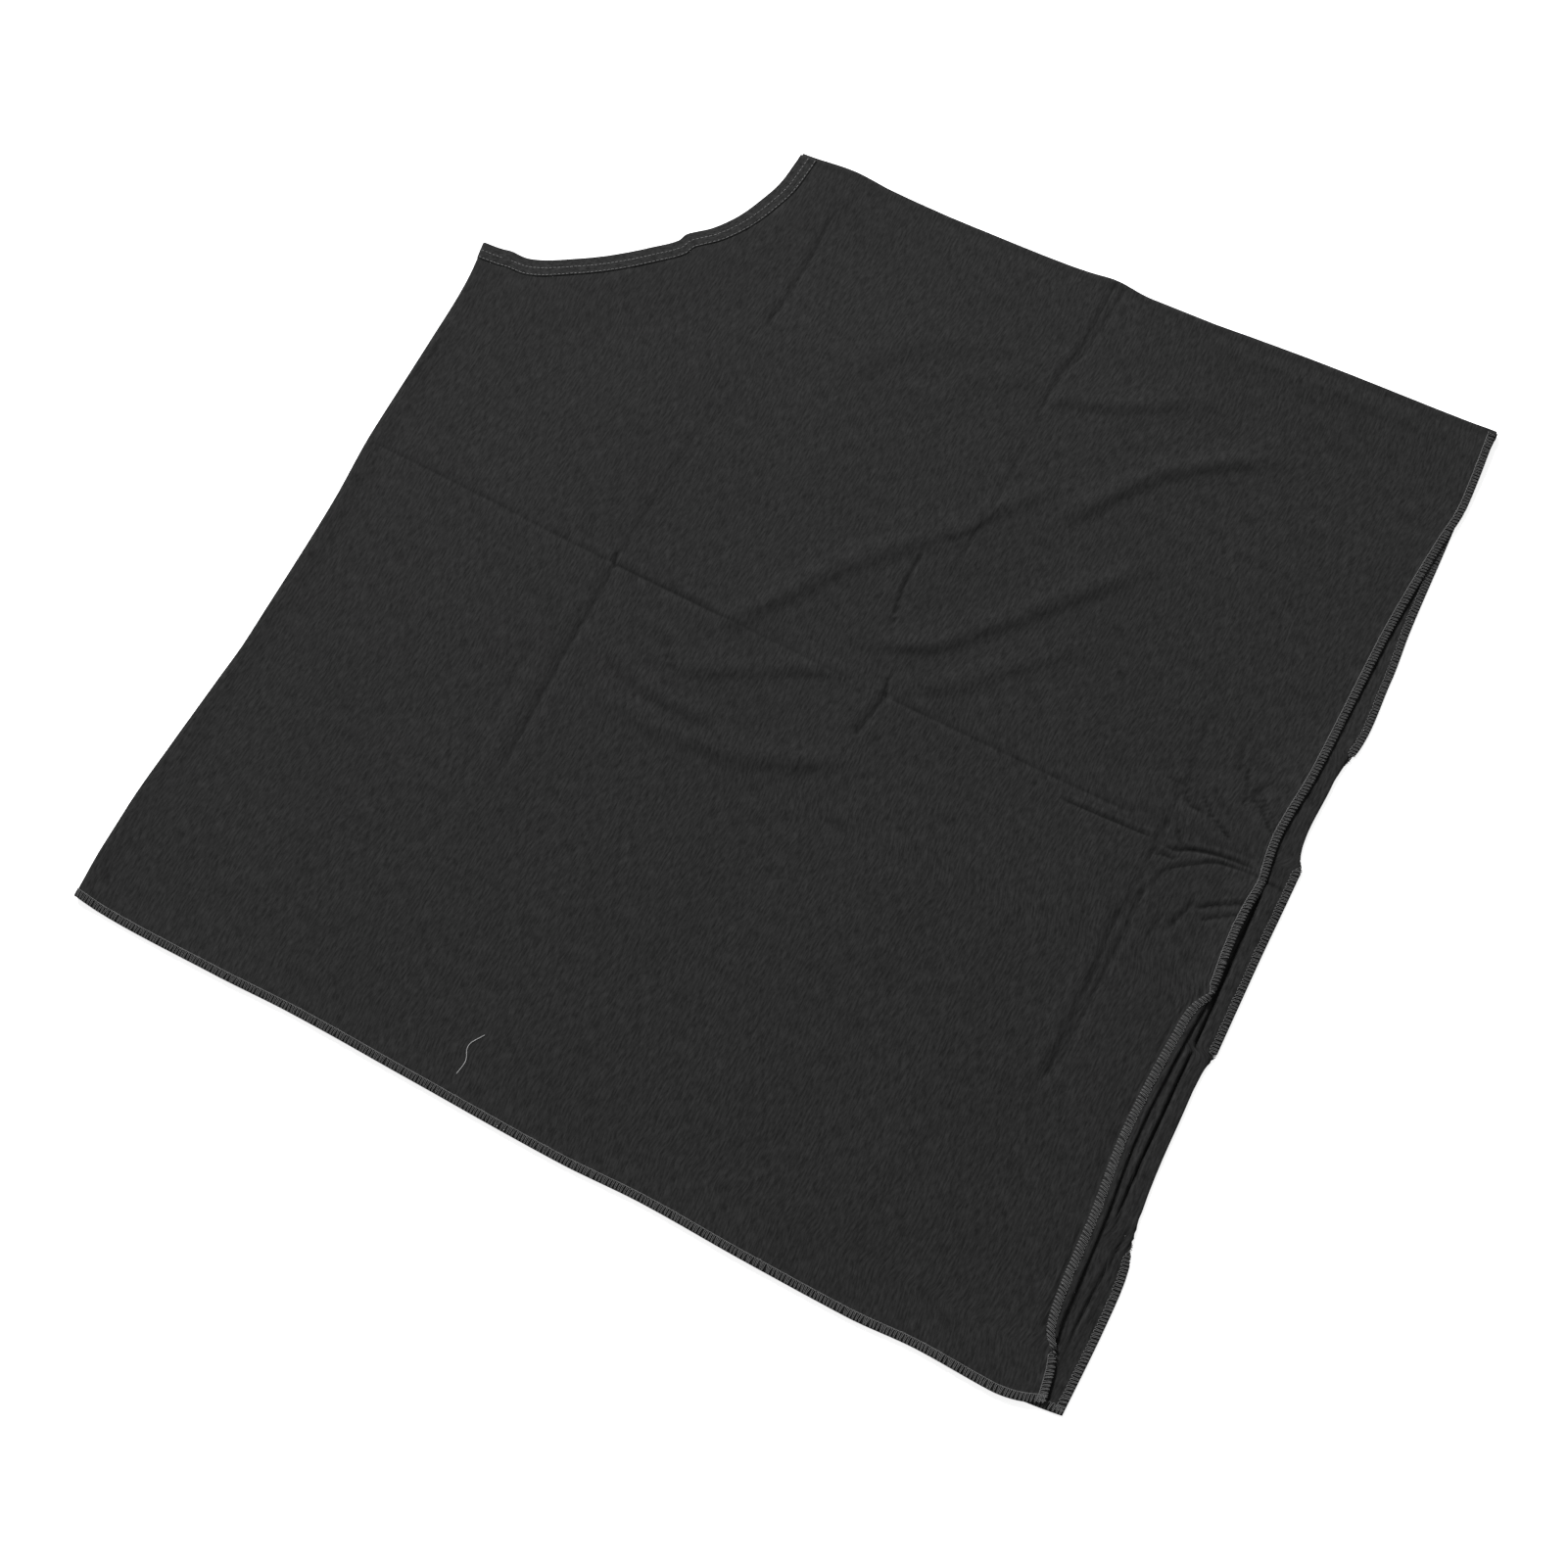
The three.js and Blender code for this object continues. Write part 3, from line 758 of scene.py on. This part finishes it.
def body_cloth():
    """One sheet: the lower leaf, the fold and the upper leaf, with the neck cut from its corner."""
    lower = spaced((-REACH, 0), (-REACH + 5, 1.4), (-REACH + 13, 0.7), (-REACH + 27, 0.9),
                   (-REACH + 60, 11), (-20, 90), (-ARC, 6))
    fold = spaced((-ARC, 0), (ARC, 0.7))
    upper = spaced((ARC, 0), (16, 2.4), (96, 10), (156, 7), (170, 2.4), (176, 2), (191, 1.0), (197, 2),
                   (337, 5), (351, 1.4), (360, 2.2), (378, 1.1), (529, 4.4), (550, 1.05), (600, 1.75),
                   (REACH - 12.5, 1.3), (REACH - 6, 0.6), (REACH, 1.2))
    across = np.concatenate([lower, fold[1:], upper[1:]])
    turned = LENGTH + SEAM_TURN
    along = spaced((0, 0), (12, 2.4), (84, 8), (104, 5), (194, 10), (200, 6), (212, 2.4), (268, 4),
                   (296, 2), (308, 1.5), (314, 1.2), (326, 0.8), (332, 1.2), (384, 1.8), (420, 3.6),
                   (560, 3.9), (604, 7), (LENGTH, 1.6), (turned, 0.5), (turned + SEAM_EDGE, 1.5))
    width, length = onto_creases(*np.meshgrid(across, along))
    from_corner = np.maximum(LENGTH - length, 0)
    raw_edge = NECK(np.degrees(np.arctan2(np.abs(width), from_corner))) + NECK_RAW
    corner_distance = np.hypot(width, from_corner)
    # Points well inside the neck are left out, and those just inside its raw edge are moved onto it.
    just_inside = 1.5
    faces = grid_faces(*width.shape)
    kept = corner_distance > raw_edge - just_inside
    faces = faces[kept.ravel()[faces].all(axis=1)]
    outwards = np.maximum(raw_edge / np.maximum(corner_distance, 1), 1)
    width = width * outwards
    length = np.where(length < LENGTH, LENGTH - (LENGTH - length) * outwards, length)
    used, faces = np.unique(faces, return_inverse=True)
    faces = faces.reshape(-1, 4)
    width, length = width.ravel()[used], length.ravel()[used]
    points = cloth(width, length)
    uv = np.stack([width, length], axis=-1)
    made = piece("body_cloth", points, faces, uv, body_jersey)
    x, y = points[:, 0], points[:, 1]
    # Painted shade in the creases and valleys: how much the cloth's colour is darkened at each point.
    crease_shade_mask = np.where(width > 0, hollow(x, y), crowded(x, y))
    made.data.attributes.new("crease_shade_mask", "FLOAT", "POINT").data.foreach_set("value", crease_shade_mask)
    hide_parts("body_panel")
    return thicken(made, CLOTH)


# The neck -------------------------------------------------------------------------------------------

def neck_place(degrees, inset):
    """Across and along of a place in from the bound neck edge. Degrees run from the fold, and are
    negative on the lower leaf."""
    radius = NECK(np.abs(degrees)) + inset
    angle = np.radians(degrees)
    return radius * np.sin(angle), LENGTH - radius * np.cos(angle)


def neck_binding():
    """A jersey strip folded over the raw neck edge of both leaves, with its join near the fold."""
    half = spaced((BINDING_WIDTH, 0), (2 * BINDING_TURN, 1.2))
    bend = np.radians(np.arange(0, 181, 20))
    inset = np.concatenate([half, BINDING_TURN - BINDING_TURN * np.sin(bend), half[::-1]])
    off = np.concatenate([np.full(len(half), 1.0), np.cos(bend), np.full(len(half), -1.0)])
    on_lower, at_fold, on_upper = (-89.6, -2, 160), (-1.6, 1.6, 13), (2, 89.6, 320)
    degrees = np.concatenate([np.linspace(*run) for run in (on_lower, at_fold, on_upper)])
    turn, edge_inset = np.meshgrid(degrees, inset, indexing="ij")
    # It puckers a little between stitches, and stands proud at its join, with a groove beside it.
    pucker = 0.05 * np.sin(turn * 2.1) + 0.04 * np.sin(turn * 5.3 + 1)
    join_at, groove_at = 8, 9.6
    proud = 0.3 * np.exp(-((turn - join_at) / 1.2) ** 2)
    groove = 0.25 * np.exp(-((turn - groove_at) / 0.35) ** 2)
    bulge = 0.5 * np.exp(-((turn - join_at) / 2) ** 2)
    flat = within(edge_inset, 1, 3, 8, BINDING_WIDTH)
    across, along = neck_place(turn, edge_inset - bulge)
    # Its inner edge is sunk into the leaf, where the needle row sews it down.
    sewn_down = 0.36 * rise(edge_inset, 10.8, BINDING_WIDTH)
    lift = BINDING_OFFSET - sewn_down + pucker * flat + (proud - groove) * (off > 0) * flat
    points = stitch(across, along, off * lift)
    halves_apart, pattern_radius = 20, 150  # so that its two halves show different cloth
    uv = np.stack([edge_inset + halves_apart * (off < 0), np.radians(turn) * pattern_radius], axis=-1)
    made = piece("binding_strip", points, grid_faces(*turn.shape), uv, strip_jersey)
    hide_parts("neck_binding")
    return thicken(made, BINDING_CLOTH)


def neck_row(name, node, inset):
    """One needle row: a short stitch over the binding at each pitch, on both leaves' outer sides."""
    dash = 1.9  # the part of each pitch that shows
    radius = NECK_RADIUS + inset
    count = int(math.pi * radius / NECK_PITCH)
    middles = np.linspace(-89, 89, count)
    run = np.array([-0.5, -0.36, 0, 0.36, 0.5])
    lift = 0.62 * np.array([0.45, 0.8, 0.9, 0.8, 0.45])
    degrees = middles[:, None] + np.degrees(dash * run / radius)
    across, along = neck_place(degrees, inset)
    path = stitch(across, along, lift).reshape(-1, 3)
    made = tube(name, path, NEEDLE_THREAD, needle_thread, sides=6, points_each=len(run))
    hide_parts(node)
    return made


def neck_looper():
    """The thread that crosses between both rows on the leaves' inner sides."""
    under = -0.82  # past the binding's inner half
    count = int(math.pi * (NECK_RADIUS + OUTER_ROW) / NECK_PITCH)
    degrees = np.linspace(-89, 89, 4 * count)
    swing = np.tile([0.0, 0.15, 1.0, 0.85], count)
    across, along = neck_place(degrees, OUTER_ROW + NEEDLE_GAUGE * swing)
    path = stitch(across, along, np.full(degrees.shape, under))
    made = tube("looper_row", path, THREAD, loop_thread)
    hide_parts("neck_looper_thread")
    return made


# Overlocks ------------------------------------------------------------------------------------------

def overlock(name, node, place, start, end):
    """Three threads round a raw edge. place(run, inset) gives across and along for a distance along
    the edge and one in from it."""
    count = int(abs(end - start) / OVERLOCK_PITCH)
    pitch = (end - start) / count
    draw = np.random.default_rng(SEED + count)
    # A rung out over one face to the edge and back, then on along the needle line to the next rung.
    run = np.array([0.00, 0.10, 0.14, 0.20, 0.30, 0.40, 0.46, 0.50, 0.60])
    inset = np.array([OVERLOCK_WIDTH, 4.0, 1.6, 0.5, 0.0, 0.5, 1.6, 4.0, OVERLOCK_WIDTH])
    off = np.array([0.40, 0.50, 0.50, 0.44, 0.15, 0.44, 0.50, 0.50, 0.40])
    threads = []
    # Where each stitch stands, leans and ends varies a little.
    for face, shift in ((1, 0.0), (-1, 0.5)):
        stitches = np.arange(count)[:, None] + shift + draw.normal(0, 0.06, (count, 1))
        lean = draw.normal(0, 0.10, (count, 1)) * (inset < 4)  # only near the edge
        slack = 1 + draw.normal(0, 0.04, (count, 1))
        runs = start + pitch * np.clip(stitches + run + lean, 0, count)
        across, along = place(runs.ravel(), (inset * slack).ravel())
        threads.append(stitch(across, along, face * np.tile(off, count)))
    line = np.linspace(start, end, 4 * count)
    dip = np.tile([0.30, 0.44, 0.44, 0.30], count)
    across, along = place(line, np.full(line.shape, OVERLOCK_WIDTH))
    threads.append(stitch(across, along, dip))
    radii = (THREAD, THREAD, NEEDLE_SHARE * THREAD)
    made = [tube(f"{name}_{i}", path, radius, seam_thread)
            for i, (path, radius) in enumerate(zip(threads, radii))]
    return joined(name, made, node)


def joined(name, parts, node):
    """Joins threads into one piece that stands for a CAD node."""
    with bpy.context.temp_override(active_object=parts[0], selected_editable_objects=parts,
                                   selected_objects=parts, object=parts[0]):
        bpy.ops.object.join()
    parts[0].name = name
    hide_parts(node)
    return parts[0]


def hem_overlock():
    return overlock("hem_threads", "hem_overlock", lambda run, inset: (run, inset), -REACH, REACH)


def side_overlock(name, node, sign):
    def place(run, inset):
        return sign * (REACH - inset), run
    return overlock(name, node, place, 1.0, LENGTH - 1.5)


def seam_overlock():
    """The overlock that joins the two turned-in edges of the seam, inside the cape."""
    start, end = BINDING_END + 1, REACH - 8
    count = int((end - start) / OVERLOCK_PITCH)
    run = np.array([0.0, 0.1, 0.3, 0.5, 0.7, 0.9])
    inset = np.array([4.4, 4.0, 0.4, -0.5, 0.4, 4.0])
    off = 0.45  # a thread's middle from a leaf's
    threads = []
    for face in (1, -1):
        x = (start + OVERLOCK_PITCH * (np.arange(count)[:, None] + run)).ravel()
        depth = LENGTH + SEAM_TURN + SEAM_EDGE - np.tile(inset, count)
        outer = cloth(x, depth)
        inner = cloth(-x, depth)
        middle = (outer + inner) / 2
        half = np.abs(outer - inner)[:, 2:] / 2 + off
        # Each rung passes between the faces only past the raw edges.
        lift = np.tile([1, 1, 1, 0, 1, 1.0], count)[:, None] * half
        threads.append(middle + face * lift * np.array([0, 0, 1.0]))
    parts = [tube(f"seam_threads_{i}", path, THREAD, seam_thread)
             for i, path in enumerate(threads)]
    return joined("seam_threads", parts, "side_seam")


def stray_thread():
    """A loose end of pale thread, lying on the upper leaf near the hem."""
    route = rounded([(259, 37), (254.5, 29), (257, 20), (255, 11)], 1.0)
    over_y = 4  # near the hem, a distance along the leaf is about this much more than its y
    path = stitch(route[:, 0], route[:, 1] + over_y, np.full(len(route), 0.45))
    made = tube("loose_thread_end", path, 0.2, loose_thread, sides=8)
    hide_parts("stray_thread")
    return made


body = body_cloth()
binding = neck_binding()
trimmings = [
    binding,
    neck_row("outer_needle_row", "neck_thread_outer", OUTER_ROW),
    neck_row("inner_needle_row", "neck_thread_inner", OUTER_ROW + NEEDLE_GAUGE),
    neck_looper(),
    seam_overlock(),
    hem_overlock(),
    side_overlock("upper_side_threads", "side_overlock_upper", 1),
    side_overlock("lower_side_threads", "side_overlock_lower", -1),
    stray_thread(),
]


# The stage ------------------------------------------------------------------------------------------

def floor():
    mesh = bpy.data.meshes.new("floor")
    size = 8.0
    corners = [(-size, -size, 0), (size, -size, 0), (size, size, 0), (-size, size, 0)]
    mesh.from_pydata(corners, [], [(0, 1, 2, 3)])
    made = bpy.data.objects.new("floor", mesh)
    bpy.context.scene.collection.objects.link(made)
    nodes = Nodes("floor")
    shade = nodes.between(nodes.add("ShaderNodeTexNoise", Scale=3.0), 0.3, 0.7)
    nodes.join(nodes.blend(shade, grey(0.93), grey(0.95)), "Base Color")
    nodes.set(Roughness=1.0, Specular_IOR_Level=0.0, Emission_Color=grey(1.0), Emission_Strength=0.7)
    mesh.materials.append(nodes.material)
    return made


def softbox(name, azimuth, elevation, distance, size, power):
    """A square area light that faces the part from a direction."""
    light = bpy.data.lights.new(name, "AREA")
    light.size = size
    light.energy = power
    made = bpy.data.objects.new(name, light)
    a, e = math.radians(azimuth), math.radians(elevation)
    towards = Vector((math.sin(a) * math.cos(e), -math.cos(a) * math.cos(e), math.sin(e)))
    made.location = towards * distance
    made.rotation_mode = "QUATERNION"
    made.rotation_quaternion = towards.to_track_quat("Z", "Y")
    bpy.context.scene.collection.objects.link(made)


def camera():
    """The view from above the open corner, rolled a little."""
    azimuth, elevation, roll = math.radians(38.21), math.radians(72.02), math.radians(11.38)
    target = Vector((0.0269, -0.0692, 0))
    distance = 1.1153
    back = Vector((math.sin(azimuth) * math.cos(elevation), -math.cos(azimuth) * math.cos(elevation),
                   math.sin(elevation)))
    data = bpy.data.cameras.new("camera")
    data.angle = math.radians(43.85)
    made = bpy.data.objects.new("camera", data)
    made.location = target + back * distance
    made.rotation_mode = "QUATERNION"
    rolled = Matrix.Rotation(-roll, 3, "Z").to_quaternion()
    made.rotation_quaternion = (-back).to_track_quat("-Z", "Y") @ rolled
    bpy.context.scene.collection.objects.link(made)
    bpy.context.scene.camera = made


def world():
    made = bpy.data.worlds.new("studio")
    bpy.context.scene.world = made
    made.use_nodes = True
    made.node_tree.nodes["Background"].inputs["Color"].default_value = (1, 1, 1, 1)
    made.node_tree.nodes["Background"].inputs["Strength"].default_value = 0.3


ground = floor()
world()
softbox("key", azimuth=226, elevation=32, distance=8.0, size=1.6, power=1270)
camera()
bpy.context.scene.view_settings.view_transform = "Standard"
